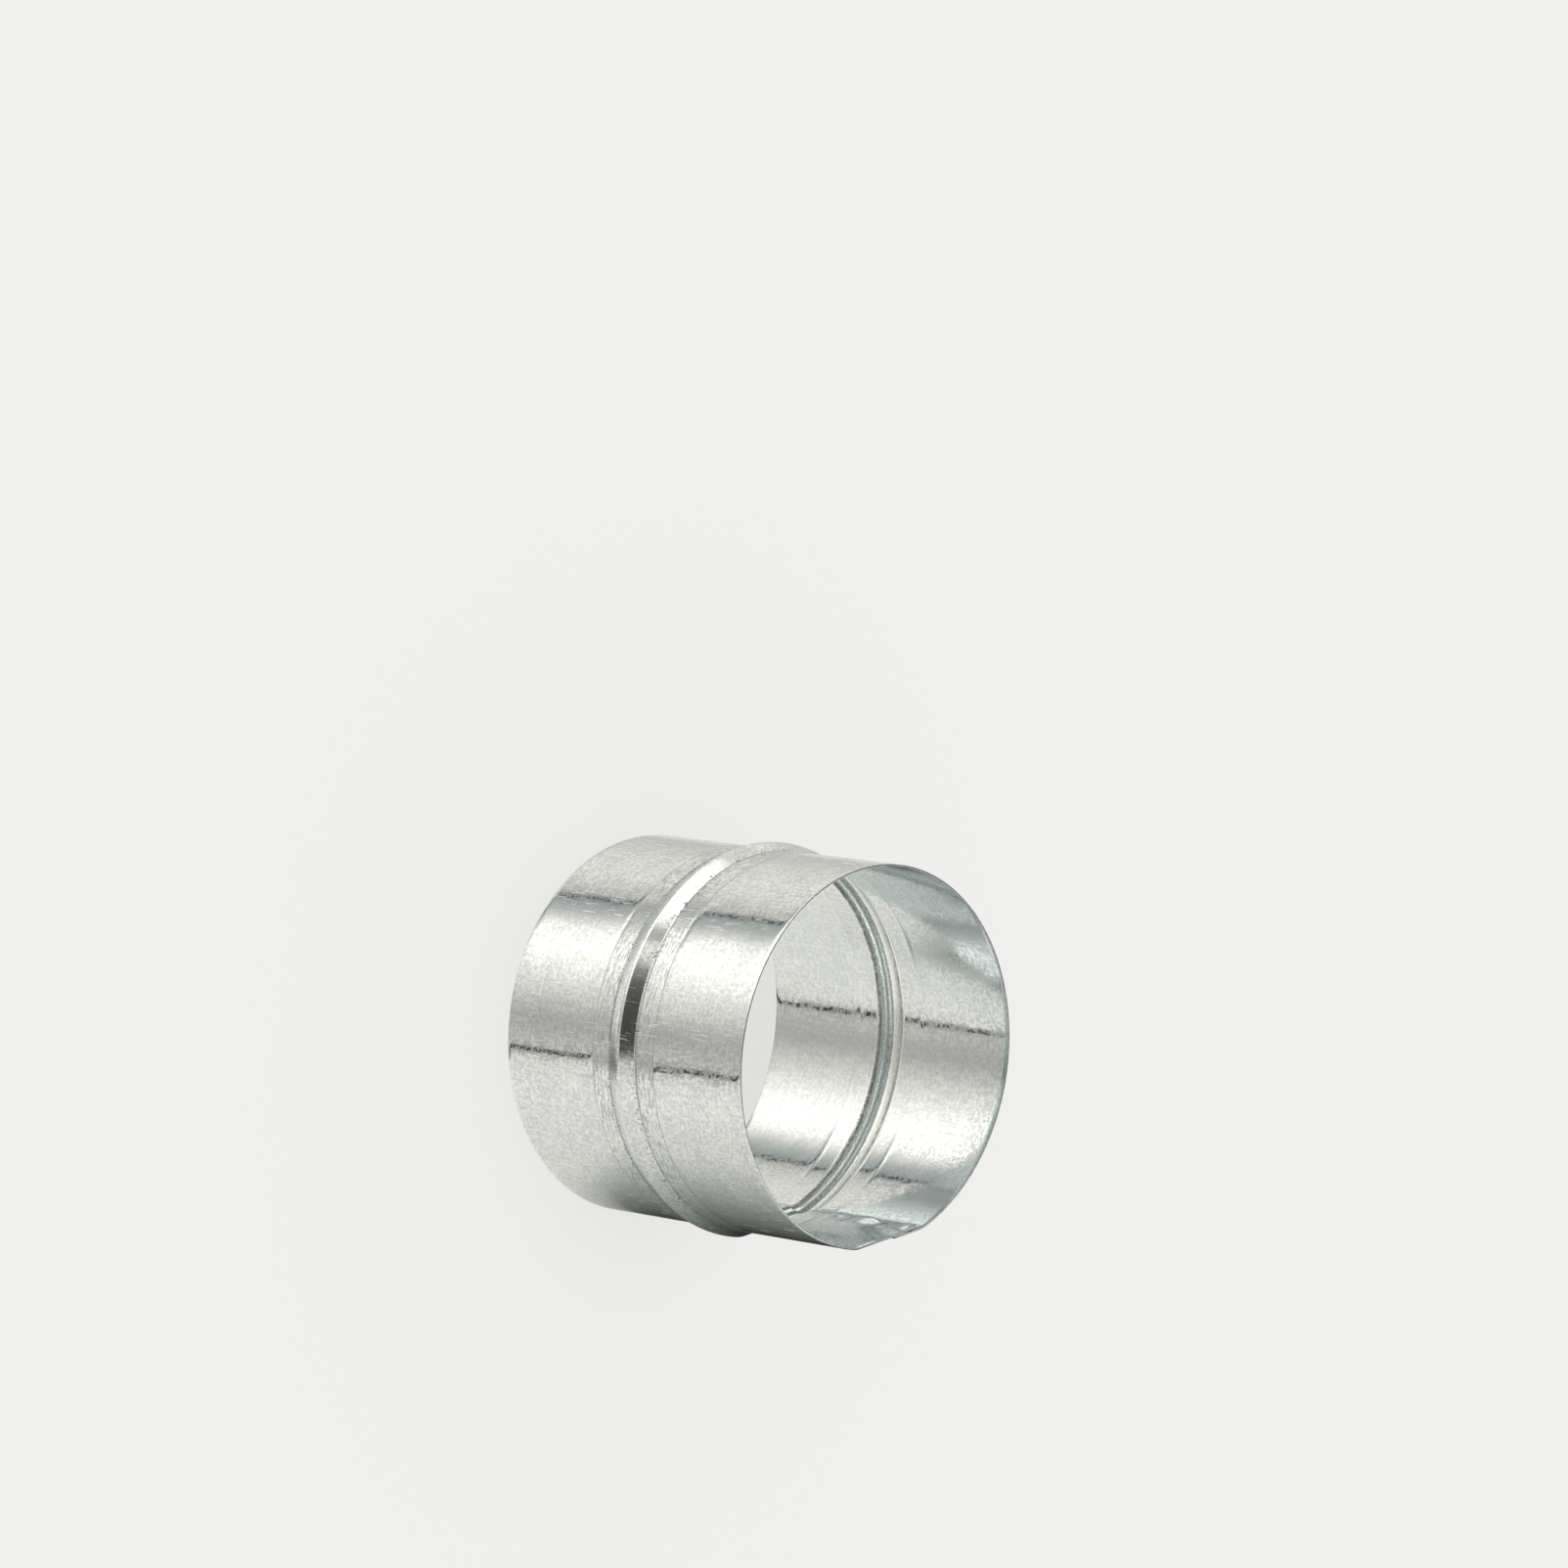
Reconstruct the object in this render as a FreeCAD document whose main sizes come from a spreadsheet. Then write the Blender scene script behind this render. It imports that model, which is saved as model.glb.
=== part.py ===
import FreeCAD, Part
import math
import os
import Sketcher

# A duct connector: one strip of galvanised sheet rolled to a round sleeve,
# closed by a flattened, welded lap seam, with a ridged bead swaged outwards
# round its middle. A duct slides over each end and stops against the bead.
# The sleeve stands on one rim, with its axis on +Z and its origin at the
# centre of that rim. Millimetres and degrees.

NODE = "connector_sleeve"

SIZES = {
    "sleeve_radius": 49.5,
    "sleeve_length": 84.5,
    "sheet_thickness": 0.5,
    "bead_height": 1.9,
    "bead_half_width": 4.6,
    "bead_crown_radius": 1.8,
    "bead_foot_radius": 1.0,
    "shoulder_reach": 11.0,
    "shoulder_rise": 0.12,
    "seam_flat_depth": 1.3,
    "seam_bend_radius": 8.0,
    "outer_lap_edge": 0.85,
    "inner_lap_edge": 9.4,
    "seam_angle": 22.5,
}

# Positions on a sketch element, and the sketch's own axes, as the sketcher numbers them.
START, END, CENTRE = 1, 2, 3
SKETCH_X_AXIS = -1
ORIGIN_POINT = (-1, 1)


def make_sheet(doc):
    sheet = doc.addObject("Spreadsheet::Sheet", "Sizes")
    for row, (name, value) in enumerate(SIZES.items(), start=1):
        sheet.set(f"A{row}", name)
        sheet.set(f"B{row}", str(value))
        sheet.setAlias(f"B{row}", name)
    doc.recompute()
    return sheet


def new_sketch(body, name, plane_role):
    sketch = body.newObject("Sketcher::SketchObject", name)
    planes = [f for f in body.Origin.OriginFeatures if f.Role == plane_role]
    sketch.AttachmentSupport = [(planes[0], "")]
    sketch.MapMode = "FlatFace"
    return sketch


def add_line(sketch, start, end):
    line = Part.LineSegment(FreeCAD.Vector(*start, 0), FreeCAD.Vector(*end, 0))
    return sketch.addGeometry(line, False)


def add_arc(sketch, centre, radius, start_degrees, end_degrees):
    circle = Part.Circle(FreeCAD.Vector(*centre, 0), FreeCAD.Vector(0, 0, 1), radius)
    arc = Part.ArcOfCircle(circle, math.radians(start_degrees), math.radians(end_degrees))
    return sketch.addGeometry(arc, False)


def relate(sketch, kind, *items):
    return sketch.addConstraint(Sketcher.Constraint(kind, *items))


def size(sketch, kind, items, value, expression):
    """A dimension that follows the sheet; value is where the drawing starts."""
    index = relate(sketch, kind, *items, value)
    sketch.setExpression(f"Constraints[{index}]", expression)


# The strip's section: two straight spigots, a shoulder that lifts a little on
# each side, and the bead: a foot arc, a straight flank, the crown's arc, and
# the same again down the other side.


def bead_turn(s):
    """How far, in degrees, the flank leans from the sleeve's wall."""
    rise = s.bead_height - s.shoulder_rise
    arms = s.bead_crown_radius + s.bead_foot_radius
    reach = math.hypot(s.bead_half_width, arms - rise)
    return math.degrees(math.asin(arms / reach) - math.atan2(arms - rise, s.bead_half_width))


def draw_section(body, s):
    sketch = new_sketch(body, "SheetSection", "XZ_Plane")
    half = s.sleeve_length / 2
    foot_z = s.bead_half_width
    crown_x = s.sleeve_radius + s.bead_height - s.bead_crown_radius
    foot_x = s.sleeve_radius + s.shoulder_rise + s.bead_foot_radius
    turn = bead_turn(s)
    lean_x, lean_z = math.cos(math.radians(turn)), math.sin(math.radians(turn))

    skins = []
    for inset in (0, s.sheet_thickness):
        wall_x = s.sleeve_radius - inset
        rise_x = wall_x + s.shoulder_rise
        foot_radius = s.bead_foot_radius + inset
        crown_radius = s.bead_crown_radius - inset
        flank_foot = (foot_x - foot_radius * lean_x, foot_z - foot_radius * lean_z)
        flank_top = (crown_x + crown_radius * lean_x, crown_radius * lean_z)
        skins.append([
            add_line(sketch, (wall_x, -half), (wall_x, -s.shoulder_reach)),
            add_line(sketch, (wall_x, -s.shoulder_reach), (rise_x, -foot_z)),
            add_arc(sketch, (foot_x, -foot_z), foot_radius, 180 - turn, 180),
            add_line(sketch, (flank_foot[0], -flank_foot[1]), (flank_top[0], -flank_top[1])),
            add_arc(sketch, (crown_x, 0), crown_radius, -turn, turn),
            add_line(sketch, flank_top, flank_foot),
            add_arc(sketch, (foot_x, foot_z), foot_radius, 180, 180 + turn),
            add_line(sketch, (rise_x, foot_z), (wall_x, s.shoulder_reach)),
            add_line(sketch, (wall_x, s.shoulder_reach), (wall_x, half)),
        ])
    outer, inner = skins
    for skin in skins:
        (low_wall, low_shoulder, low_foot, low_flank, crown,
         high_flank, high_foot, high_shoulder, high_wall) = skin
        relate(sketch, "Coincident", low_wall, END, low_shoulder, START)
        relate(sketch, "Tangent", low_shoulder, END, low_foot, END)
        relate(sketch, "Tangent", low_foot, START, low_flank, START)
        relate(sketch, "Tangent", low_flank, END, crown, START)
        relate(sketch, "Tangent", crown, END, high_flank, START)
        relate(sketch, "Tangent", high_flank, END, high_foot, END)
        relate(sketch, "Tangent", high_foot, START, high_shoulder, START)
        relate(sketch, "Coincident", high_shoulder, END, high_wall, START)
        relate(sketch, "Vertical", low_wall)
        relate(sketch, "Vertical", high_wall)

    (low_wall, low_shoulder, low_foot, low_flank, crown,
     high_flank, high_foot, high_shoulder, high_wall) = outer
    size(sketch, "DistanceX", (*ORIGIN_POINT, low_wall, START), s.sleeve_radius,
         "Sizes.sleeve_radius")
    size(sketch, "DistanceY", (low_wall, START, *ORIGIN_POINT), half,
         "Sizes.sleeve_length / 2")
    size(sketch, "DistanceY", (*ORIGIN_POINT, high_wall, END), half,
         "Sizes.sleeve_length / 2")
    size(sketch, "DistanceY", (low_wall, END, *ORIGIN_POINT), s.shoulder_reach,
         "Sizes.shoulder_reach")
    relate(sketch, "Symmetric", low_wall, END, high_wall, START, SKETCH_X_AXIS)
    for shoulder, end in ((low_shoulder, END), (high_shoulder, START)):
        size(sketch, "DistanceX", (*ORIGIN_POINT, shoulder, end),
             s.sleeve_radius + s.shoulder_rise,
             "Sizes.sleeve_radius + Sizes.shoulder_rise")
    size(sketch, "DistanceY", (low_shoulder, END, *ORIGIN_POINT), foot_z,
         "Sizes.bead_half_width")
    size(sketch, "DistanceY", (*ORIGIN_POINT, high_shoulder, START), foot_z,
         "Sizes.bead_half_width")
    relate(sketch, "PointOnObject", crown, CENTRE, SKETCH_X_AXIS)
    size(sketch, "DistanceX", (*ORIGIN_POINT, crown, CENTRE), crown_x,
         "Sizes.sleeve_radius + Sizes.bead_height - Sizes.bead_crown_radius")
    size(sketch, "Radius", (crown,), s.bead_crown_radius, "Sizes.bead_crown_radius")
    size(sketch, "Radius", (low_foot,), s.bead_foot_radius, "Sizes.bead_foot_radius")
    relate(sketch, "Equal", low_foot, high_foot)

    # The inner skin keeps one sheet's thickness from the outer one.
    for arc in (2, 4, 6):
        relate(sketch, "Coincident", outer[arc], CENTRE, inner[arc], CENTRE)
    size(sketch, "Radius", (inner[4],), s.bead_crown_radius - s.sheet_thickness,
         "Sizes.bead_crown_radius - Sizes.sheet_thickness")
    for foot in (2, 6):
        size(sketch, "Radius", (inner[foot],), s.bead_foot_radius + s.sheet_thickness,
             "Sizes.bead_foot_radius + Sizes.sheet_thickness")
    relate(sketch, "Parallel", outer[1], inner[1])
    relate(sketch, "Parallel", outer[7], inner[7])
    for wall, end, level in ((0, START, -half), (8, END, half)):
        rim = add_line(sketch, (s.sleeve_radius, level),
                       (s.sleeve_radius - s.sheet_thickness, level))
        relate(sketch, "Coincident", rim, START, outer[wall], end)
        relate(sketch, "Coincident", rim, END, inner[wall], end)
        relate(sketch, "Horizontal", rim)
        size(sketch, "Distance", (rim,), s.sheet_thickness, "Sizes.sheet_thickness")
    return sketch


# The way round that the sheet's outer skin takes: from the side opposite the
# seam, round to a short bend, and along the seam's flat to the edge of the lap.


def draw_way_round(body, s, name, side, depth, depth_text, lap_end, lap_text):
    sketch = new_sketch(body, name, "XY_Plane")
    radius, bend = s.sleeve_radius, s.seam_bend_radius
    turn = math.degrees(math.acos(1 - depth / (radius - bend)))
    bend_x = -(radius - bend) * math.cos(math.radians(turn))
    bend_y = side * (radius - bend) * math.sin(math.radians(turn))
    if side > 0:
        round_part = add_arc(sketch, (0, 0), radius, 0, 180 - turn)
        bend_part = add_arc(sketch, (bend_x, bend_y), bend, 180 - turn, 180)
        first, last = START, END
    else:
        round_part = add_arc(sketch, (0, 0), radius, turn - 180, 0)
        bend_part = add_arc(sketch, (bend_x, bend_y), bend, 180, 180 + turn)
        first, last = END, START
    flat = add_line(sketch, (depth - radius, bend_y), (depth - radius, lap_end))
    relate(sketch, "Coincident", round_part, CENTRE, *ORIGIN_POINT)
    size(sketch, "Radius", (round_part,), radius, "Sizes.sleeve_radius")
    relate(sketch, "PointOnObject", round_part, first, SKETCH_X_AXIS)
    relate(sketch, "Tangent", round_part, last, bend_part, first)
    size(sketch, "Radius", (bend_part,), bend, "Sizes.seam_bend_radius")
    relate(sketch, "Tangent", bend_part, last, flat, START)
    relate(sketch, "Vertical", flat)
    size(sketch, "DistanceX", (flat, START, *ORIGIN_POINT), radius - depth,
         f"Sizes.sleeve_radius - {depth_text}")
    size(sketch, "DistanceY", (flat, END, *ORIGIN_POINT), -lap_end, lap_text)
    return sketch


def sweep(body, name, section, way):
    pipe = body.newObject("PartDesign::AdditivePipe", name)
    pipe.Profile = section
    pipe.Spine = (way, [])
    pipe.Mode = "Standard"
    return pipe


def make_sleeve(doc, s):
    body = doc.addObject("PartDesign::Body", "ConnectorSleeve")
    body.Label = NODE
    section = draw_section(body, s)
    outer_way = draw_way_round(body, s, "OuterLapWay", -1,
                               s.seam_flat_depth, "Sizes.seam_flat_depth",
                               -s.outer_lap_edge, "Sizes.outer_lap_edge")
    inner_way = draw_way_round(body, s, "InnerLapWay", 1,
                               s.seam_flat_depth + s.sheet_thickness,
                               "(Sizes.seam_flat_depth + Sizes.sheet_thickness)",
                               -s.inner_lap_edge, "Sizes.inner_lap_edge")
    doc.recompute()
    sweep(body, "OuterLapHalf", section, outer_way)
    doc.recompute()
    sweep(body, "InnerLapHalf", section, inner_way)
    body.Placement = FreeCAD.Placement(FreeCAD.Vector(0, 0, s.sleeve_length / 2),
                                       FreeCAD.Rotation(FreeCAD.Vector(0, 0, 1), s.seam_angle - 180))
    body.setExpression("Placement.Base.z", "Sizes.sleeve_length / 2")
    body.setExpression("Placement.Rotation.Angle", "Sizes.seam_angle - 180")
    doc.recompute()
    return body


def check(doc, body):
    for item in doc.Objects:
        if "Invalid" in item.State or "Error" in item.State:
            raise RuntimeError(f"{item.Name} did not build: {item.State}")
    if body.Shape.isNull() or not body.Shape.isValid():
        raise RuntimeError(f"{body.Label} is not a sound solid")
    if len(body.Shape.Solids) != 1:
        raise RuntimeError(f"{body.Label} is in {len(body.Shape.Solids)} pieces")


def main():
    doc = FreeCAD.newDocument("DuctConnector")
    sheet = make_sheet(doc)
    sleeve = make_sleeve(doc, sheet)
    check(doc, sleeve)
    os.makedirs("parts", exist_ok=True)
    sleeve.Shape.exportStep(f"parts/{sleeve.Label}.step")
    print(f"{sleeve.Label}: {sleeve.Shape.Volume:.1f} mm3 in {len(sleeve.Shape.Faces)} faces")


main()
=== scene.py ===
import math
import bpy
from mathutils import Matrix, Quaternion, Vector


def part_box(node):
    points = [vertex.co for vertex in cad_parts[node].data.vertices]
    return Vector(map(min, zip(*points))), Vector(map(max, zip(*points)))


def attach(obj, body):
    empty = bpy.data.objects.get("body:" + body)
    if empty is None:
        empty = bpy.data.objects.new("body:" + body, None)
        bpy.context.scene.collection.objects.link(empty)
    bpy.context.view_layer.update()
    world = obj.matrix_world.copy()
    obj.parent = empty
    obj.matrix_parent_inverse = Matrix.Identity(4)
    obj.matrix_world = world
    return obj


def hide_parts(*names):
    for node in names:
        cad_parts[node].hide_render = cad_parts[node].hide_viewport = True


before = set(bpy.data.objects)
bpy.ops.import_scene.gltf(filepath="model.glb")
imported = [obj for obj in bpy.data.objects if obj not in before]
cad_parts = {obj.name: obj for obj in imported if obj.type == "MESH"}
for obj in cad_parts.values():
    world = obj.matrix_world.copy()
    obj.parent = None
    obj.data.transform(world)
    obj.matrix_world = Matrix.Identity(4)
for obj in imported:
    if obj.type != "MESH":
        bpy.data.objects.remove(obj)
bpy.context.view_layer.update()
mm = 0.001
print("frame loaded")


def hexColour(code):  # "#rrggbb" in sRGB to linear red, green, blue and alpha
    channels = [int(code[i:i + 2], 16) / 255 for i in (1, 3, 5)]
    linear = [c / 12.92 if c <= 0.04045 else ((c + 0.055) / 1.055) ** 2.4 for c in channels]
    return (*linear, 1.0)


def startMaterial(name):
    material = bpy.data.materials.new(name)
    material.use_nodes = True
    material.node_tree.nodes.clear()
    return material, material.node_tree


def addNode(tree, kind, settings=None, inputs=None, output=0, stops=None):
    # settings can be an operation alone, inputs hold numbers, colours or the sockets
    # to link from, stops belong to a colour ramp, and the output asked for comes back
    node = tree.nodes.new("ShaderNode" + kind)
    if isinstance(settings, str):
        settings = {"operation": settings}
    if isinstance(inputs, list):
        inputs = dict(enumerate(inputs))
    for name, value in (settings or {}).items():
        setattr(node, name, value)
    for name, value in (inputs or {}).items():
        if isinstance(value, bpy.types.NodeSocket):
            tree.links.new(value, node.inputs[name])
        else:
            node.inputs[name].default_value = value
    for index, (position, colour) in enumerate(stops or []):
        marks = node.color_ramp.elements
        mark = marks[index] if index < len(marks) else marks.new(position)
        mark.position = position
        mark.color = colour if hasattr(colour, "__len__") else (colour, colour, colour, 1)
    return node.outputs[output] if node.outputs else node


smooth = {"interpolation_type": "SMOOTHSTEP"}  # for a Map Range with soft ends

# The camera stands where the photographer's did, seen from the connector. The
# connector stands on its end here, so the picture is turned on its side.

view = {
    "place": (87.49 * mm, -1451.44 * mm, 1451.95 * mm),
    "aim": (-66.01 * mm, -7.97 * mm, 41.28 * mm),
    "roll": 96.63,      # degrees
    "lens": 179.66,     # mm
    "sensor": 36,       # mm wide
    "farthest": 100,    # metres
}


def placeCamera(v):
    bpy.ops.object.camera_add(location=v["place"])
    camera = bpy.context.object
    camera.name = "photoCamera"
    look = (Vector(v["aim"]) - Vector(v["place"])).to_track_quat("-Z", "Y")
    camera.rotation_euler = (look @ Quaternion((0, 0, 1), math.radians(v["roll"]))).to_euler()
    camera.data.lens = v["lens"]
    camera.data.sensor_width = v["sensor"]
    camera.data.clip_end = v["farthest"]
    bpy.context.scene.camera = camera
    return camera


camera = placeCamera(view)
bpy.context.scene.view_settings.view_transform = "Standard"
print("camera placed")

# The sleeve, rolled up from one strip as the real one is. It is drawn with the
# middle of its seam on +X and turned to its place at the end.

sleeve = {
    "radius": 49.5 * mm,
    "thickness": 0.5 * mm,
    "edgeBevel": 0.07 * mm,
    "bevelSegments": 2,
    "sharpAngle": 60,               # degrees, what counts as a cut edge
    "smoothAngle": 35,              # degrees, what is shaded as one surface
    "beadHeight": 1.9 * mm,
    "beadHalfWidth": 4.6 * mm,
    "beadCrownRadius": 1.8 * mm,
    "beadFootRadius": 1.0 * mm,
    "shoulderReach": 11.0 * mm,     # from the bead's middle, where the rolls began to lift the wall
    "shoulderRise": 0.12 * mm,
    "creaseDepth": 0.04 * mm,
    "creaseWidth": 0.5 * mm,
    "seamAngle": 22.5,              # degrees round from +X
    "seamFlatDepth": 1.3 * mm,      # of the flat under the full circle
    "seamBendRadius": 8.0 * mm,
    "outerLapEdge": 0.85 * mm,      # where the two layers end, from the flat's middle
    "innerLapEdge": 9.4 * mm,
    "lapGap": 0.02 * mm,
    "weldPitch": 15.0 * mm,
    "weldFromRim": 9.0 * mm,
    "weldMargin": 5.5 * mm,         # the strip along the inner edge that the welds hold down
    "weldLift": 0.8 * mm,
    "weldMarkRadius": 2.4 * mm,
    "weldMarkDepth": 0.2 * mm,
    "weldMarkSlope": 1.6,
    # how finely the strip is divided
    "wallSteps": 24,
    "shoulderSteps": 5,
    "footSteps": 4,
    "crownSteps": 8,
    "flankSteps": 6,
    "roundSteps": 300,
    "bendSteps": 4,
    "flatStep": 1.0 * mm,
}


def extendLine(step, steps):  # pushes what is selected on, one step at a time
    for _ in range(steps):
        bpy.ops.mesh.extrude_region_move(TRANSFORM_OT_translate={"value": step})


def extendArc(centre, axis, degrees, steps):  # spin counts its angle the other way round
    bpy.ops.mesh.spin(steps=steps, angle=-math.radians(degrees), center=centre, axis=axis)


def selectBeyond(piece, axis, limit):  # selects only the points past limit on that axis
    bpy.ops.object.mode_set(mode="EDIT")
    bpy.ops.mesh.select_mode(type="VERT")
    bpy.ops.mesh.select_all(action="DESELECT")
    bpy.ops.object.mode_set(mode="OBJECT")
    for vertex in piece.data.vertices:
        vertex.select = vertex.co[axis] > limit
    bpy.ops.object.mode_set(mode="EDIT")


def startLine(x, y, reach):  # keeps one edge of a plane, from the floor up to reach
    bpy.ops.mesh.primitive_plane_add(size=reach, location=(x + reach / 2, y, reach / 2),
                                     rotation=(math.pi / 2, 0, 0))
    piece = bpy.context.object
    bpy.ops.object.transform_apply(location=True, rotation=True, scale=True)
    selectBeyond(piece, 0, x + reach / 2)
    bpy.ops.mesh.delete(type="VERT")
    selectBeyond(piece, 2, reach / 2)
    return piece


def drawSection(s, x, y, length):
    # one chain of edges up the outer skin: wall, crease, shoulder, bead, and back again
    half = length / 2
    rise = s["beadHeight"] - s["shoulderRise"]
    arms = s["beadCrownRadius"] + s["beadFootRadius"]
    reach = math.hypot(s["beadHalfWidth"], arms - rise)
    turn = math.asin(arms / reach) - math.atan2(arms - rise, s["beadHalfWidth"])
    flank = (s["beadHalfWidth"] - arms * math.sin(turn)) / math.cos(turn) / s["flankSteps"]
    flankRise, flankRun = flank * math.sin(turn), flank * math.cos(turn)
    degrees = math.degrees(turn)
    crownX = x + s["beadHeight"] - s["beadCrownRadius"]
    footX = x + s["shoulderRise"] + s["beadFootRadius"]
    footZ = s["beadHalfWidth"]
    wall = half - s["shoulderReach"] - s["creaseWidth"] / 2
    wallStep = (0, 0, wall / s["wallSteps"])
    shoulder = (s["shoulderReach"] - s["creaseWidth"] / 2 - footZ) / s["shoulderSteps"]
    lift = s["shoulderRise"] / s["shoulderSteps"]
    creaseStep = s["creaseWidth"] / 2
    around = (0, 1, 0)

    piece = startLine(x, y, wallStep[2])
    extendLine(wallStep, s["wallSteps"] - 1)
    extendLine((-s["creaseDepth"], 0, creaseStep), 1)
    extendLine((s["creaseDepth"], 0, creaseStep), 1)
    extendLine((lift, 0, shoulder), s["shoulderSteps"])
    extendArc((footX, y, half - footZ), around, degrees, s["footSteps"])
    extendLine((flankRise, 0, flankRun), s["flankSteps"])
    extendArc((crownX, y, half), around, -2 * degrees, s["crownSteps"])
    extendLine((-flankRise, 0, flankRun), s["flankSteps"])
    extendArc((footX, y, half + footZ), around, degrees, s["footSteps"])
    extendLine((-lift, 0, shoulder), s["shoulderSteps"])
    extendLine((-s["creaseDepth"], 0, creaseStep), 1)
    extendLine((s["creaseDepth"], 0, creaseStep), 1)
    extendLine(wallStep, s["wallSteps"])
    return piece


def rollStrip(s, length):
    reach = s["radius"] - s["seamBendRadius"]
    innerDepth = s["seamFlatDepth"] + s["thickness"] + s["lapGap"]
    outerTurn = math.acos(1 - s["seamFlatDepth"] / reach)
    innerTurn = math.acos(1 - innerDepth / reach)
    outerFlat = reach * math.sin(outerTurn)
    innerFlat = reach * math.sin(innerTurn)
    outerRun = outerFlat - s["outerLapEdge"]
    innerRun = innerFlat + s["innerLapEdge"]
    up = (0, 0, 1)

    piece = drawSection(s, s["radius"] - s["seamFlatDepth"], s["outerLapEdge"], length)
    bpy.ops.mesh.select_all(action="SELECT")
    steps = round(outerRun / s["flatStep"])
    extendLine((0, outerRun / steps, 0), steps)
    bendX = reach - s["seamFlatDepth"]
    extendArc((bendX, outerFlat, 0), up, math.degrees(outerTurn), s["bendSteps"])
    extendArc((0, 0, 0), up, 360 - math.degrees(outerTurn + innerTurn), s["roundSteps"])
    bendX = reach - innerDepth
    extendArc((bendX, -innerFlat, 0), up, math.degrees(innerTurn), s["bendSteps"])
    steps = round(innerRun / s["flatStep"])
    extendLine((0, innerRun / steps, 0), steps)
    bpy.ops.mesh.select_all(action="SELECT")
    bpy.ops.mesh.remove_doubles(threshold=s["lapGap"] / 4)
    bpy.ops.mesh.normals_make_consistent(inside=False)
    bpy.ops.object.mode_set(mode="OBJECT")
    bpy.ops.object.transform_apply(location=True, rotation=True, scale=True)
    return piece


def smoothStep(value):
    value = min(max(value, 0), 1)
    return value * value * (3 - 2 * value)


def liftSeamMargin(piece, s, length):
    # between its spot welds the inner free edge stands off a little, towards the bore
    start = s["innerLapEdge"] - s["weldMargin"]
    depth = s["radius"] - s["seamFlatDepth"] - s["thickness"]
    for vertex in piece.data.vertices:
        if vertex.co.y <= start or vertex.co.y > s["innerLapEdge"] + mm / 10 or vertex.co.x < 0:
            continue
        toShoulder = abs(vertex.co.z - length / 2) - s["shoulderReach"]
        if toShoulder < 0 or vertex.co.x > depth - s["lapGap"] / 2:
            continue
        fromWeld = (min(vertex.co.z, length - vertex.co.z) - s["weldFromRim"]) / s["weldPitch"]
        between = 0.5 - 0.5 * math.cos(2 * math.pi * fromWeld)
        between *= smoothStep(toShoulder / s["weldMargin"])
        vertex.co.x -= s["weldLift"] * between * smoothStep((vertex.co.y - start) / s["weldMargin"])


def pressWeldMarks(piece, s, length):
    # the round marks that the welding tips leave in both faces of the lap
    outerFace = s["radius"] - s["seamFlatDepth"]
    innerFace = outerFace - 2 * s["thickness"] - s["lapGap"]
    markY = s["innerLapEdge"] - s["weldMargin"] / 2
    near = length - s["weldFromRim"]
    heights = [near, near - s["weldPitch"], length - near, length - near + s["weldPitch"]]
    for vertex in piece.data.vertices:
        x, y, z = vertex.co
        inward = abs(x - outerFace) < 0.05 * mm
        outward = abs(x - innerFace) < 0.3 * mm
        if not (inward or outward) or abs(y - markY) > s["weldMarkRadius"]:
            continue
        away = min(math.hypot(y - markY, z - height) for height in heights)
        share = smoothStep(s["weldMarkSlope"] * (1 - away / s["weldMarkRadius"]))
        vertex.co.x += s["weldMarkDepth"] * share * (-1 if inward else 1)


def finishSleeve(piece, s, length):
    liftSeamMargin(piece, s, length)
    for kind, settings in (
        ("SOLIDIFY", {"thickness": s["thickness"], "offset": -1, "use_even_offset": True}),
        ("BEVEL", {"width": s["edgeBevel"], "segments": s["bevelSegments"],
                   "limit_method": "ANGLE", "angle_limit": math.radians(s["sharpAngle"])}),
    ):
        modifier = piece.modifiers.new(kind.title(), kind)
        for name, value in settings.items():
            setattr(modifier, name, value)
        bpy.ops.object.modifier_apply(modifier=modifier.name)
    pressWeldMarks(piece, s, length)
    piece.rotation_euler.z = math.radians(s["seamAngle"])
    bpy.ops.object.transform_apply(location=True, rotation=True, scale=True)
    bpy.ops.object.shade_smooth_by_angle(angle=math.radians(s["smoothAngle"]))
    piece.name = "connectorSheet"
    piece.data.name = "connectorSheet"


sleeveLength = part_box("connector_sleeve")[1].z
bpy.ops.object.select_all(action="DESELECT")
sheet = rollStrip(sleeve, sleeveLength)
finishSleeve(sheet, sleeve, sleeveLength)
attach(sheet, "root")
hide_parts("connector_sleeve")
print("sleeve rolled:", len(sheet.data.polygons), "faces")

# Hot-dip galvanised steel sheet with a minimised spangle: bright zinc with a fine
# frosty grain, faint lines both ways, the forming rolls' rub beside the bead, and painted light and
# shade in the bead's creases and groove.

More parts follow.
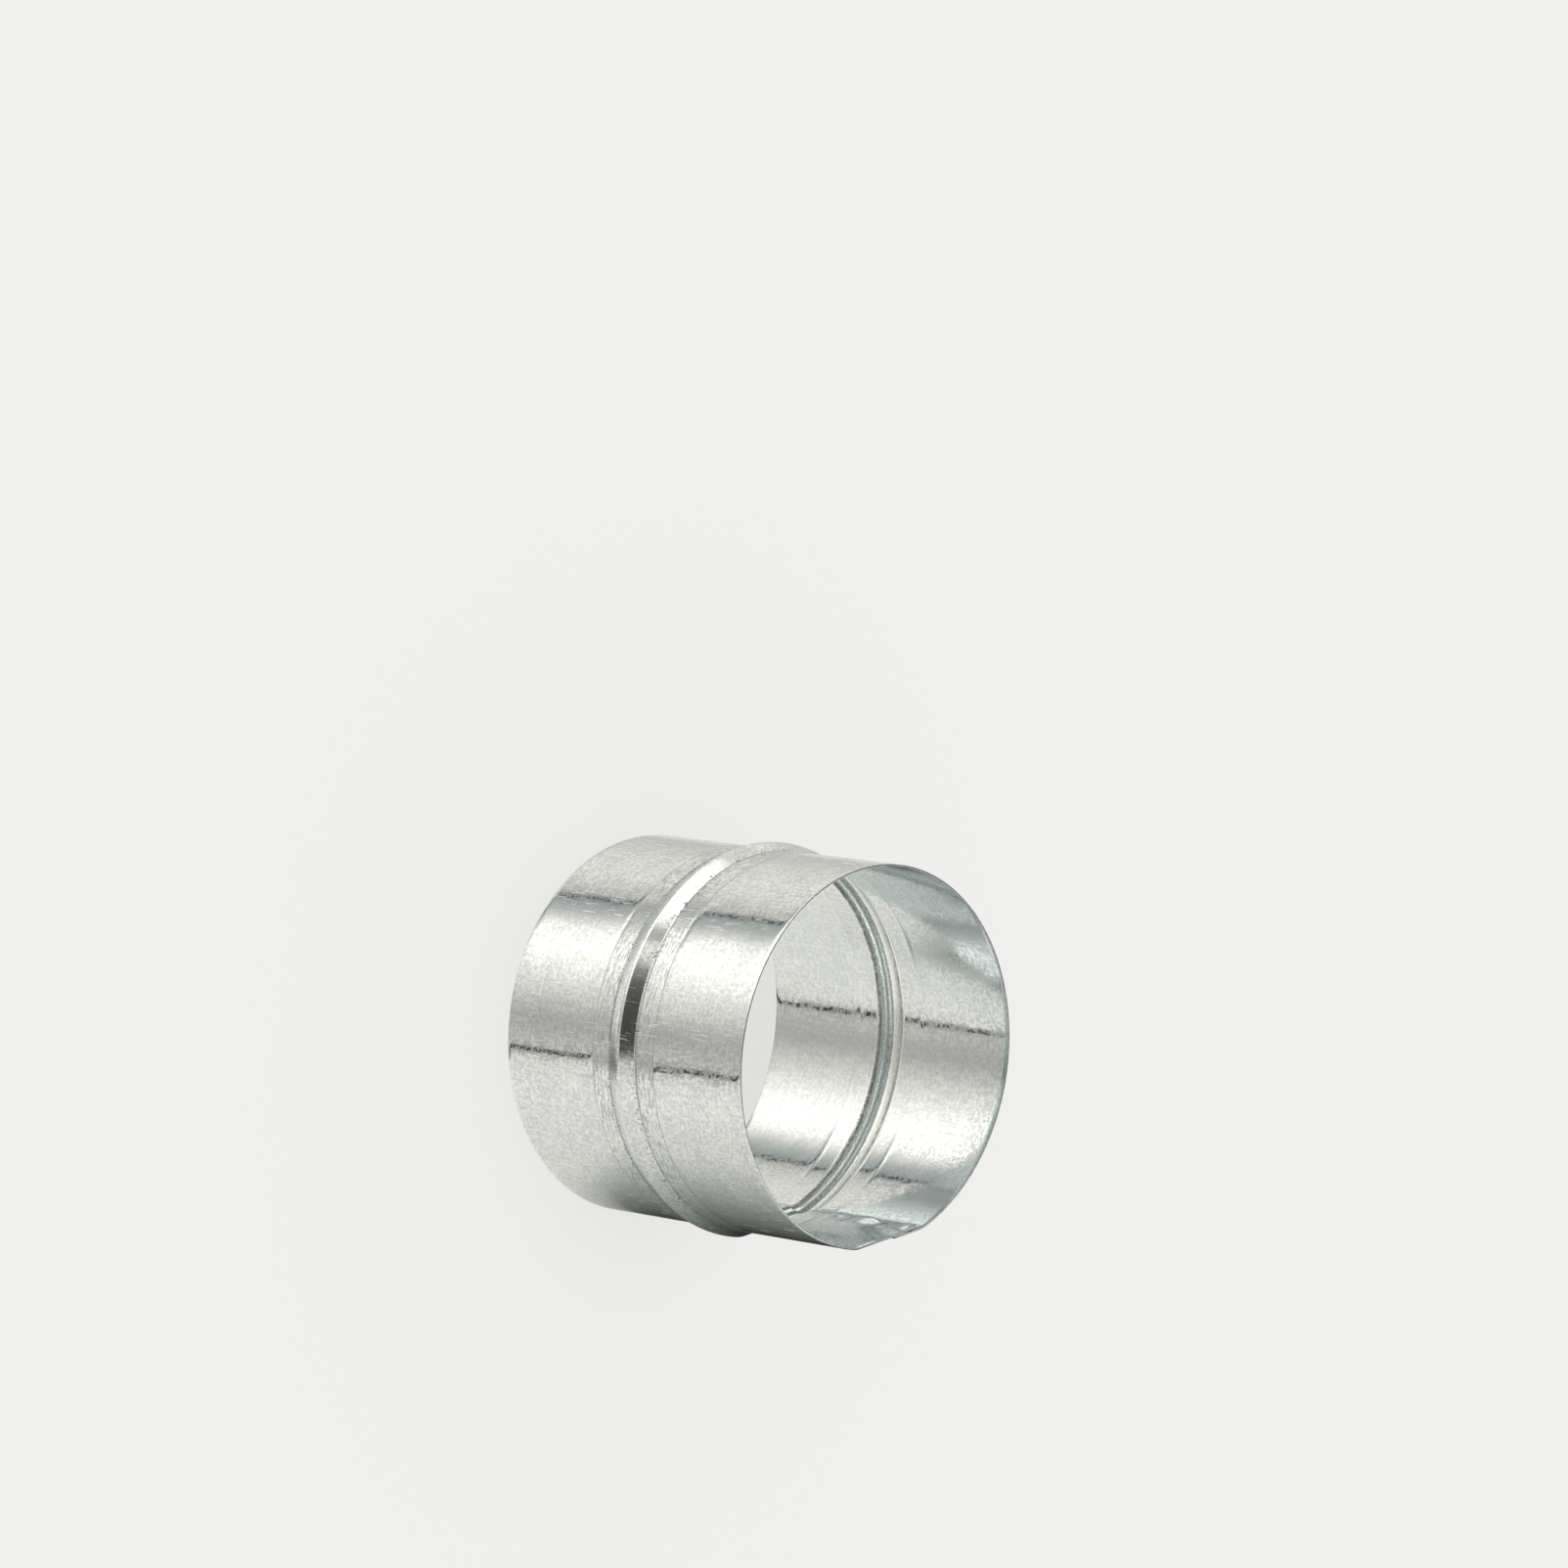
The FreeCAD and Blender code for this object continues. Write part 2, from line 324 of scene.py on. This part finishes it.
zinc = {
    "bright": "#e4edef",
    "plain": "#ced8da",
    "dull": "#bcc5c7",
    # inside the bead: zinc burnished by the rolls, and painted light that lifts the groove out of
    # its shade
    "polishedWithPaintedLight": "#ecf3f2",  # where the rolls pressed hardest, inside the bead
    "line": "#868a88",
    "pit": "#6c7272",
    "shine": 0.06,          # roughness of the clean zinc
    "frost": 0.19,          # of its frosted grains
    "rubbed": 0.28,         # where the rolls have dragged over it
    "groove": 0.30,         # and inside the bead
    "calmInside": 0.35,     # how much plainer the frost is inside
    "grainSize": 0.95,      # mm, the frost of the zinc crystals
    "mottleSize": 7.0,      # mm, slow changes of tone
    "lineWidth": 0.40,      # mm, lines left by the mill rolls, drawn as coarse as they show
    "lineLength": 9.0,      # mm
    "waveSize": 22.0,       # mm, unevenness of the thin sheet
    "waveHeight": 0.18,     # mm
    "grainHeight": 0.006,   # mm
    "pitSize": 0.7,         # mm
    "pitShare": (0.61, 0.68),           # the pattern's high values alone are pits
    "pitFrom": (2.6, 4.0),  # mm from the bead's middle, from none of them to all
    "pitTo": (6.2, 5.0),
    "dragSize": (2.4, 2.4, 0.42),   # mm, the torn grain where the rolls dragged
    "dragWeight": 2.0,      # of it in the tone
    "torn": (0.48, 0.34, 0.0, 0.55),    # from these values of it to these depths of line
    "broken": (0.72, 1.12, 0.15, 1.0),  # the same for the gaps in the rubbed lines
    "ridgePitch": 2.3,      # mm, fine steps that the rolls left inside the bead
    "ridgeHeight": 0.07,    # mm
    "ridgeWander": 1.2,     # radians by which the grain moves a ridge
    "scratchSize": (0.25, 6, 6),        # mm
    "scratchTurn": (0.5, 0.7, 1.1),     # radians
    "scratchShare": (0.735, 0.765),     # the pattern's highest values alone are scratches
    "toneStart": -1.75,     # the patterns average one half, which makes the tone one half
    "toneWeights": (2.5, 0.4, 0.7, 0.9),    # grain, mottle, lines round and lines along
    "frostTone": (0.25, 0.75),  # the tones at which the zinc is all frost and all shine
    "worn": 0.25,           # more roughness in lines, pits and scratches
    "rubFrom": 4.7,         # mm from the bead's middle, and the end of the rub
    "rubTo": 11.2,
    "rubSoft": 0.3,         # mm, half the width in which it begins
    # a line of painted shade in the groove is taken down the same way
    "lineDark": 0.8,        # how far a rubbed line takes the colour down
    "lineSoft": 0.1,        # mm beyond its half width
    # rubbed lines, which at the bead's feet and shoulder creases also paint the shade there:
    # millimetres above the bead's middle, half width, depth of tone
    "rubAndCreaseShadeLines": [
        (4.9, 0.35, 0.85), (7.6, 0.10, 0.30), (10.95, 0.16, 0.70),
        (-4.7, 0.40, 0.90), (-7.9, 0.10, 0.30), (-10.95, 0.16, 0.65),
    ],
    # painted shade and reflections in the groove inside the bead, in the same columns
    "grooveShadeLines": [
        (-4.1, 0.75, 1.0), (-1.9, 0.30, 0.6), (3.5, 0.90, 1.0),
    ],
}


def makeGalvanisedSteel(z, length):
    material, tree = startMaterial("hotDipGalvanisedSteel")

    def pattern(size, detail, roughness, turn=(0, 0, 0)):  # size in mm, along x, y and z
        cells = addNode(tree, "Mapping", None, {
            "Vector": inMm, "Rotation": turn, "Scale": [1 / edge for edge in size]})
        return addNode(tree, "TexNoise", None, {
            "Vector": cells, "Scale": 1, "Detail": detail, "Roughness": roughness})

    # the place in millimetres from the bead's middle, and which side of the sheet it is
    place = addNode(tree, "TexCoord", output="Object")
    normal = addNode(tree, "TexCoord", output="Normal")
    inMm = addNode(tree, "Mapping", None, {"Vector": place, "Scale": (1000, 1000, 1000)})
    height = addNode(tree, "SeparateXYZ", None, [inMm], 2)
    fromBead = addNode(tree, "Math", "SUBTRACT", [height, length / mm / 2])
    away = addNode(tree, "Math", "ABSOLUTE", [fromBead])
    facing = addNode(tree, "VectorMath", "DOT_PRODUCT", [normal, place], "Value")
    outside = addNode(tree, "Math", "GREATER_THAN", [facing, 0.0])

    line, run = z["lineWidth"], z["lineLength"]
    grain = pattern((z["grainSize"],) * 3, 3, 0.55)
    mottle = pattern((z["mottleSize"],) * 3, 2, 0.5)
    wave = pattern((z["waveSize"],) * 3, 4, 0.5)
    roundLines = pattern((run, run, line), 2, 0.6)
    alongLines = pattern((line, line, run), 2, 0.6)
    dragLines = pattern(z["dragSize"], 2, 0.6)
    pits = pattern((z["pitSize"],) * 3, 1, 0.5)
    scratches = pattern(z["scratchSize"], 0, 0.5, z["scratchTurn"])

    # the rub goes from the bead's foot to the crease, and inside all over the bead
    rubStart = addNode(tree, "MapRange", smooth, [
        away, z["rubFrom"] - z["rubSoft"], z["rubFrom"] + z["rubSoft"]])
    rubEnd = addNode(tree, "MapRange", smooth, [away, z["rubTo"], z["rubTo"] - 0.4])
    rubbed = addNode(tree, "Math", "MULTIPLY", [rubStart, rubEnd])
    rubbed = addNode(tree, "Math", "MULTIPLY", [rubbed, outside])
    inGroove = addNode(tree, "MapRange", smooth, [away, z["rubFrom"] + 0.6, z["rubFrom"]])
    inGroove = addNode(tree, "Math", "SUBTRACT", [inGroove, outside])
    inGroove = addNode(tree, "Math", "MAXIMUM", [inGroove, 0.0])
    rub = addNode(tree, "Math", "MAXIMUM", [rubbed, inGroove])

    # dark lines, broken up by the grain: rubbed lines, which in the bead's feet and creases also
    # paint the shade there, painted shade and reflections inside the groove, and grain that the
    # rolls have torn
    lines = 0.0
    for side, marks in ((outside, z["rubAndCreaseShadeLines"]), (inGroove, z["grooveShadeLines"])):
        for middle, half, depth in marks:
            beside = addNode(tree, "Math", "SUBTRACT", [fromBead, middle])
            beside = addNode(tree, "Math", "ABSOLUTE", [beside])
            mark = addNode(tree, "MapRange", smooth, [
                beside, half + z["lineSoft"], half * 0.5, 0.0, depth])
            mark = addNode(tree, "Math", "MULTIPLY", [mark, side])
            lines = addNode(tree, "Math", "MAXIMUM", [mark, lines])
    broken = addNode(tree, "Math", "ADD", [roundLines, grain])
    broken = addNode(tree, "MapRange", smooth, [broken, *z["broken"]])
    lines = addNode(tree, "Math", "MULTIPLY", [lines, broken])
    torn = addNode(tree, "MapRange", smooth, [dragLines, *z["torn"]])
    torn = addNode(tree, "Math", "MULTIPLY", [torn, rubbed])
    lines = addNode(tree, "Math", "MAXIMUM", [lines, torn])

    # pits along the bead's feet, and scratches on the outside
    upFlank = addNode(tree, "MapRange", smooth, [away, *z["pitFrom"]])
    pastFoot = addNode(tree, "MapRange", smooth, [away, *z["pitTo"]])
    atFoot = addNode(tree, "Math", "MULTIPLY", [upFlank, pastFoot])
    atFoot = addNode(tree, "Math", "MULTIPLY", [atFoot, outside])
    pitted = addNode(tree, "MapRange", smooth, [pits, *z["pitShare"]])
    pitted = addNode(tree, "Math", "MULTIPLY", [pitted, atFoot])
    scratched = addNode(tree, "MapRange", smooth, [scratches, *z["scratchShare"]])
    scratched = addNode(tree, "Math", "MULTIPLY", [scratched, outside])

    tone = z["toneStart"]
    for share, weight in zip((grain, mottle, roundLines, alongLines), z["toneWeights"]):
        tone = addNode(tree, "Math", "MULTIPLY_ADD", [share, weight, tone])
    dragged = addNode(tree, "Math", "MULTIPLY_ADD", [
        dragLines, z["dragWeight"], -z["dragWeight"] / 2])
    dragged = addNode(tree, "Math", "MULTIPLY", [dragged, rub])
    tone = addNode(tree, "Math", "ADD", [tone, dragged])
    tone = addNode(tree, "Math", "MULTIPLY_ADD", [lines, -z["lineDark"], tone])
    colour = addNode(tree, "ValToRGB", None, [tone], stops=[
        (0.0, hexColour(z["dull"])), (0.5, hexColour(z["plain"])), (1.0, hexColour(z["bright"]))])

    # a Mix node takes its share and two colours at 0, 6 and 7, and gives its colour at 2
    lineShare = addNode(tree, "Math", "MULTIPLY", [lines, z["lineDark"]])
    calm = addNode(tree, "Math", "MULTIPLY_ADD", [outside, -z["calmInside"], z["calmInside"]])
    # the groove's colour is lighter: burnished zinc, and painted light against the shade in it
    for share, shade in ((calm, "plain"), (inGroove, "polishedWithPaintedLight"), (lineShare, "line"),
                         (pitted, "pit"), (scratched, "bright")):
        colour = addNode(tree, "Mix", {"data_type": "RGBA"}, {
            0: share, 6: colour, 7: hexColour(z[shade])}, 2)

    roughness = addNode(tree, "MapRange", smooth, [tone, *z["frostTone"], z["frost"], z["shine"]])
    worn = addNode(tree, "Math", "MAXIMUM", [lines, pitted])
    worn = addNode(tree, "Math", "MAXIMUM", [worn, scratched])
    for share, more in ((rub, z["rubbed"] - z["frost"]), (inGroove, z["groove"] - z["rubbed"]),
                        (worn, z["worn"])):
        roughness = addNode(tree, "Math", "MULTIPLY_ADD", [share, more, roughness])

    ridge = addNode(tree, "Math", "MULTIPLY", [fromBead, 2 * math.pi / z["ridgePitch"]])
    ridge = addNode(tree, "Math", "MULTIPLY_ADD", [grain, z["ridgeWander"], ridge])
    ridge = addNode(tree, "Math", "SINE", [ridge])
    ridge = addNode(tree, "Math", "MULTIPLY", [ridge, inGroove])
    surfaceGrain = addNode(tree, "Math", "MULTIPLY_ADD", [dragLines, rub, grain])
    bumps = ((wave, z["waveHeight"]), (ridge, z["ridgeHeight"]), (surfaceGrain, z["grainHeight"]))
    shape = {}
    for relief, rise in bumps:
        shape = {"Normal": addNode(tree, "Bump", None, {
            "Strength": 1, "Distance": rise * mm, "Height": relief, **shape})}
    surface = addNode(tree, "BsdfPrincipled", None, {
        "Base Color": colour, "Metallic": 1, "Roughness": roughness, **shape})
    addNode(tree, "OutputMaterial", None, {"Surface": surface})
    return material


sheet.data.materials.clear()
sheet.data.materials.append(makeGalvanisedSteel(zinc, sleeveLength))
print("zinc coating made")

# The floor, and the studio that the bright metal mirrors. Its angles are counted
# from the photographer: azimuth from straight ahead to the right, elevation from
# level upwards. The floor is lit evenly and keeps the connector's soft shadow.

floor = {
    "size": 16,        # metres
    "colour": "#f0f0ee",
    "ownLight": 0.76,  # how much of the floor the camera sees as an even white board
}

# Only the metal sees this table. It touches the bead on the side that the
# photographer has below, so that the sleeve mirrors its own shadow there, deepened by a shadow
# painted into the table's colour.
table = {
    "size": 700 * mm,
    "side": 15.5,            # degrees round the sleeve from +X
    "gap": 0.3 * mm,
    "colour": (1.0, 0.92, 0.85, 1),
    # painted shadow: millimetres to the side of the line that it touches, and the share of light
    # left
    "shade": [(0, 0.06), (8, 0.18), (18, 0.42), (27, 0.59), (36, 0.76), (45, 0.92), (55, 1.0)],
    "paintedShadeTint": (0.83, 1.0, 0.94),  # of the deepest shade
    # the table's own glow, painted light that brightens what the metal mirrors of it
    "ownLight": 0.12,
    # along the sleeve from its middle, where the painted shade begins to fade and where it is gone
    "paintedShadeEnds": [(50 * mm, 72 * mm), (-24 * mm, -92 * mm)],
    "solidTo": 110 * mm,
    "goneFrom": 300 * mm,
}

studio = {
    "tint": (1.105, 1.0, 0.918, 1),
    "plain": 1.0,  # the light on all that isn't mirrored
    # lists of degrees and level, where 1 is a white board: up and down each side, and
    # then, in the spans, where each side is seen
    "table": [(-90, 0.76), (-60, 0.86), (-45, 0.89), (-20, 0.89), (-8, 0.84)],
    "leftSide": [(-8.8, 0.68), (-4, 0.64), (1, 0.55), (5, 0.53), (10, 0.68), (20, 1.0),
                 (28, 1.32), (35, 1.60), (55, 1.65), (90, 1.0)],
    "backdrop": [(-8, (0.20, 0.22, 0.22, 1)), (-1, (0.30, 0.33, 0.335, 1)),
                 (4, (0.50, 0.55, 0.56, 1)), (15, (0.565, 0.60, 0.61, 1)),
                 (28, (0.70, 0.73, 0.74, 1)), (38, 0.87), (46, 0.97), (52, 0.91), (90, 0.85)],
    "cameraSide": [(-14, 0.72), (-9.5, 0.08), (3, 0.07), (18, 0.09), (27, 0.15), (33, 0.34),
                   (37.5, 0.76), (40, 1.05), (46, 1.10), (49.5, 0.55), (54, 0.55),
                   (59, 0.90), (90, 0.85)],
    "leftSpan": [(-66, 1), (-60, 0)],
    "tableSpan": [(-9.2, 1), (-8.7, 0)],
    "cameraSpan": [(-180, 1), (-130, 1), (-124, 0), (160, 0), (168, 1)],
    # a dark gap beside the window: its levels by azimuth, seen at these elevations
    "gapSpan": [(32, 0), (38, 1), (60, 1), (68, 0)],
    "gap": [(-80, 1.65), (-75, 1.50), (-71, 1.10), (-67.5, 0.80),
            (-64, (0.56, 0.61, 0.62, 1)), (-60, (0.48, 0.53, 0.545, 1)),
            (-56.5, (0.45, 0.50, 0.515, 1)), (-55.2, (0.05, 0.07, 0.08, 1)),
            (-53, (0.06, 0.08, 0.09, 1)), (-51.8, 0.62), (-48, 0.74), (-42, 0.83), (-36, 0.88)],
    # patches: azimuth shares, elevation shares, level
    "patches": [
        ([(-112, 0), (-106, 1), (-70, 1), (-60, 0)],
         [(-10.9, 0), (-10.5, 1), (-8.7, 1), (-8.3, 0)], 0.02),
        ([(-50, 0), (-36, 1), (36, 1), (50, 0)], [(-9, 0), (-8, 1), (-4.0, 1), (-2.5, 0)], 0.14),
        ([(-180, 1), (-130, 1), (-124, 0)], [(-14, 0), (-10, 1), (-8, 1), (-7, 0)], 0.12),
        ([(-180, 1), (-128, 1), (-114, 0)], [(-75, 0), (-60, 1), (-17, 1), (-14, 0)], 0.76),
    ],
    # soft round cards: azimuth, elevation, half width, softness, level
    "cards": [
        (-141, 84, 24, 9, 1.65),
        (0, 8, 6, 5, (0.70, 0.78, 0.78, 1)),
        (-38, 8, 11, 6, 1.2),
        (88, -7, 14, 12, 0.20),
    ],
}


def makeFloor(f):
    bpy.ops.mesh.primitive_plane_add(size=f["size"])
    board = bpy.context.object
    board.name = "floor"
    board.visible_glossy = False
    board.visible_diffuse = False  # it takes no light from the mirrored table
    board.visible_shadow = False
    material, tree = startMaterial("mattWhiteBoard")
    colour = hexColour(f["colour"])
    seen = addNode(tree, "LightPath", output="Is Camera Ray")
    share = addNode(tree, "Math", "MULTIPLY", [seen, f["ownLight"]])
    matt = addNode(tree, "BsdfDiffuse", None, {"Color": colour})
    glow = addNode(tree, "Emission", None, {"Color": colour, "Strength": 1})
    both = addNode(tree, "MixShader", None, [share, matt, glow])
    addNode(tree, "OutputMaterial", None, {"Surface": both})
    board.data.materials.append(material)


def makeMirroredTable(t, s, length):
    reach = s["radius"] + s["beadHeight"] + t["gap"]
    side = math.radians(t["side"])
    bpy.ops.mesh.primitive_plane_add(
        size=t["size"], rotation=(0, -math.pi / 2, side),
        location=(reach * math.cos(side), reach * math.sin(side), length / 2))
    board = bpy.context.object
    board.name = "mirroredTable"
    board.visible_camera = False
    board.visible_diffuse = False
    board.visible_shadow = False
    board.visible_transmission = False
    material, tree = startMaterial("mattTableWithPaintedShadow")
    place = addNode(tree, "TexCoord", output="Object")
    along = addNode(tree, "SeparateXYZ", None, [place], 0)
    across = addNode(tree, "SeparateXYZ", None, [place], 1)
    across = addNode(tree, "Math", "ABSOLUTE", [across])
    reachShade = t["shade"][-1][0]
    across = addNode(tree, "Math", "MULTIPLY", [across, 1 / (reachShade * mm)])
    for begins, gone in t["paintedShadeEnds"]:
        past = addNode(tree, "MapRange", smooth, [along, begins, gone])
        across = addNode(tree, "Math", "ADD", [across, past])
    # the table's colour holds a painted shadow, darkest beside the line where it touches the bead
    colour = addNode(tree, "ValToRGB", None, [across], stops=[
        (aside / reachShade, [share * channel * (tint + share * (1 - tint))
                              for channel, tint in zip(t["colour"], t["paintedShadeTint"])] + [1])
        for aside, share in t["shade"]])
    away = addNode(tree, "VectorMath", "LENGTH", [place], "Value")
    fade = addNode(tree, "MapRange", smooth, [away, t["solidTo"], t["goneFrom"]])
    matt = addNode(tree, "BsdfDiffuse", None, {"Color": colour})
    # a faint glow of its own, painted light
    glow = addNode(tree, "Emission", None, {"Color": colour, "Strength": t["ownLight"]})
    matt = addNode(tree, "AddShader", None, [matt, glow])
    clear = addNode(tree, "BsdfTransparent")
    both = addNode(tree, "MixShader", None, [fade, matt, clear])
    addNode(tree, "OutputMaterial", None, {"Surface": both})
    board.data.materials.append(material)


def makeStudio(s, camera):
    world = bpy.data.worlds.new("studio")
    bpy.context.scene.world = world
    world.use_nodes = True
    tree = world.node_tree
    tree.nodes.clear()

    def angleRamp(angle, stops):  # stops in degrees, held level beyond the first and the last
        low, high = stops[0][0] - 1, stops[-1][0] + 1
        along = addNode(tree, "MapRange", None, [angle, low, high])
        return addNode(tree, "ValToRGB", None, [along], stops=[
            ((degrees - low) / (high - low), level) for degrees, level in stops])

    def roundCard(azimuth, elevation, half, soft):
        a, e = math.radians(azimuth), math.radians(elevation)
        middle = (math.sin(a) * math.cos(e), math.sin(e), -math.cos(a) * math.cos(e))
        near = addNode(tree, "VectorMath", "DOT_PRODUCT", [ray, middle], "Value")
        outer, inner = (math.cos(math.radians(max(half + way * soft / 2, 0))) for way in (1, -1))
        return addNode(tree, "MapRange", smooth, [near, outer, inner])

    mix = {"data_type": "RGBA"}
    times = {"data_type": "RGBA", "blend_type": "MULTIPLY"}
    turn = camera.matrix_world.to_quaternion().inverted().to_euler()
    ray = addNode(tree, "TexCoord", output="Generated")
    ray = addNode(tree, "Mapping", None, {"Vector": ray, "Rotation": turn})
    right = addNode(tree, "SeparateXYZ", None, [ray], 0)
    up = addNode(tree, "SeparateXYZ", None, [ray], 1)
    ahead = addNode(tree, "SeparateXYZ", None, [ray], 2)
    ahead = addNode(tree, "Math", "MULTIPLY", [ahead, -1])
    azimuth = addNode(tree, "Math", "ARCTAN2", [right, ahead])
    azimuth = addNode(tree, "Math", "DEGREES", [azimuth])
    elevation = addNode(tree, "Math", "ARCSINE", [up])
    elevation = addNode(tree, "Math", "DEGREES", [elevation])

    # each layer lies over the ones before it: where it is seen, and its light
    gapFrom, gapTo = s["gap"][0][0], s["gap"][-1][0]
    gapWidth = angleRamp(azimuth, [(gapFrom - 3, 0), (gapFrom, 1), (gapTo, 1), (gapTo + 3, 0)])
    gapHeight = angleRamp(elevation, s["gapSpan"])
    inGap = addNode(tree, "Mix", times, {0: 1.0, 6: gapWidth, 7: gapHeight}, 2)
    layers = [
        (angleRamp(azimuth, s["leftSpan"]), angleRamp(elevation, s["leftSide"])),
        (inGap, angleRamp(azimuth, s["gap"])),
        (angleRamp(azimuth, s["cameraSpan"]), angleRamp(elevation, s["cameraSide"])),
        (angleRamp(elevation, s["tableSpan"]), angleRamp(elevation, s["table"])),
    ]
    for azimuths, elevations, level in s["patches"]:
        width, height = angleRamp(azimuth, azimuths), angleRamp(elevation, elevations)
        layers.append((addNode(tree, "Mix", times, {0: 1.0, 6: width, 7: height}, 2), level))
    for *card, level in s["cards"]:
        layers.append((roundCard(*card), level))
    light = angleRamp(elevation, s["backdrop"])
    for share, level in layers:
        if isinstance(level, (int, float)):
            level = (level, level, level, 1)
        light = addNode(tree, "Mix", mix, {0: share, 6: light, 7: level}, 2)

    mirrored = addNode(tree, "LightPath", output="Is Glossy Ray")
    plain = (s["plain"], s["plain"], s["plain"], 1)
    light = addNode(tree, "Mix", times, {0: 1.0, 6: light, 7: s["tint"]}, 2)
    light = addNode(tree, "Mix", mix, {0: mirrored, 6: plain, 7: light}, 2)
    shade = addNode(tree, "Background", None, {"Color": light})
    addNode(tree, "OutputWorld", None, {"Surface": shade})


bpy.context.view_layer.update()
makeFloor(floor)
makeMirroredTable(table, sleeve, sleeveLength)
makeStudio(studio, camera)
print("floor, table and studio made")
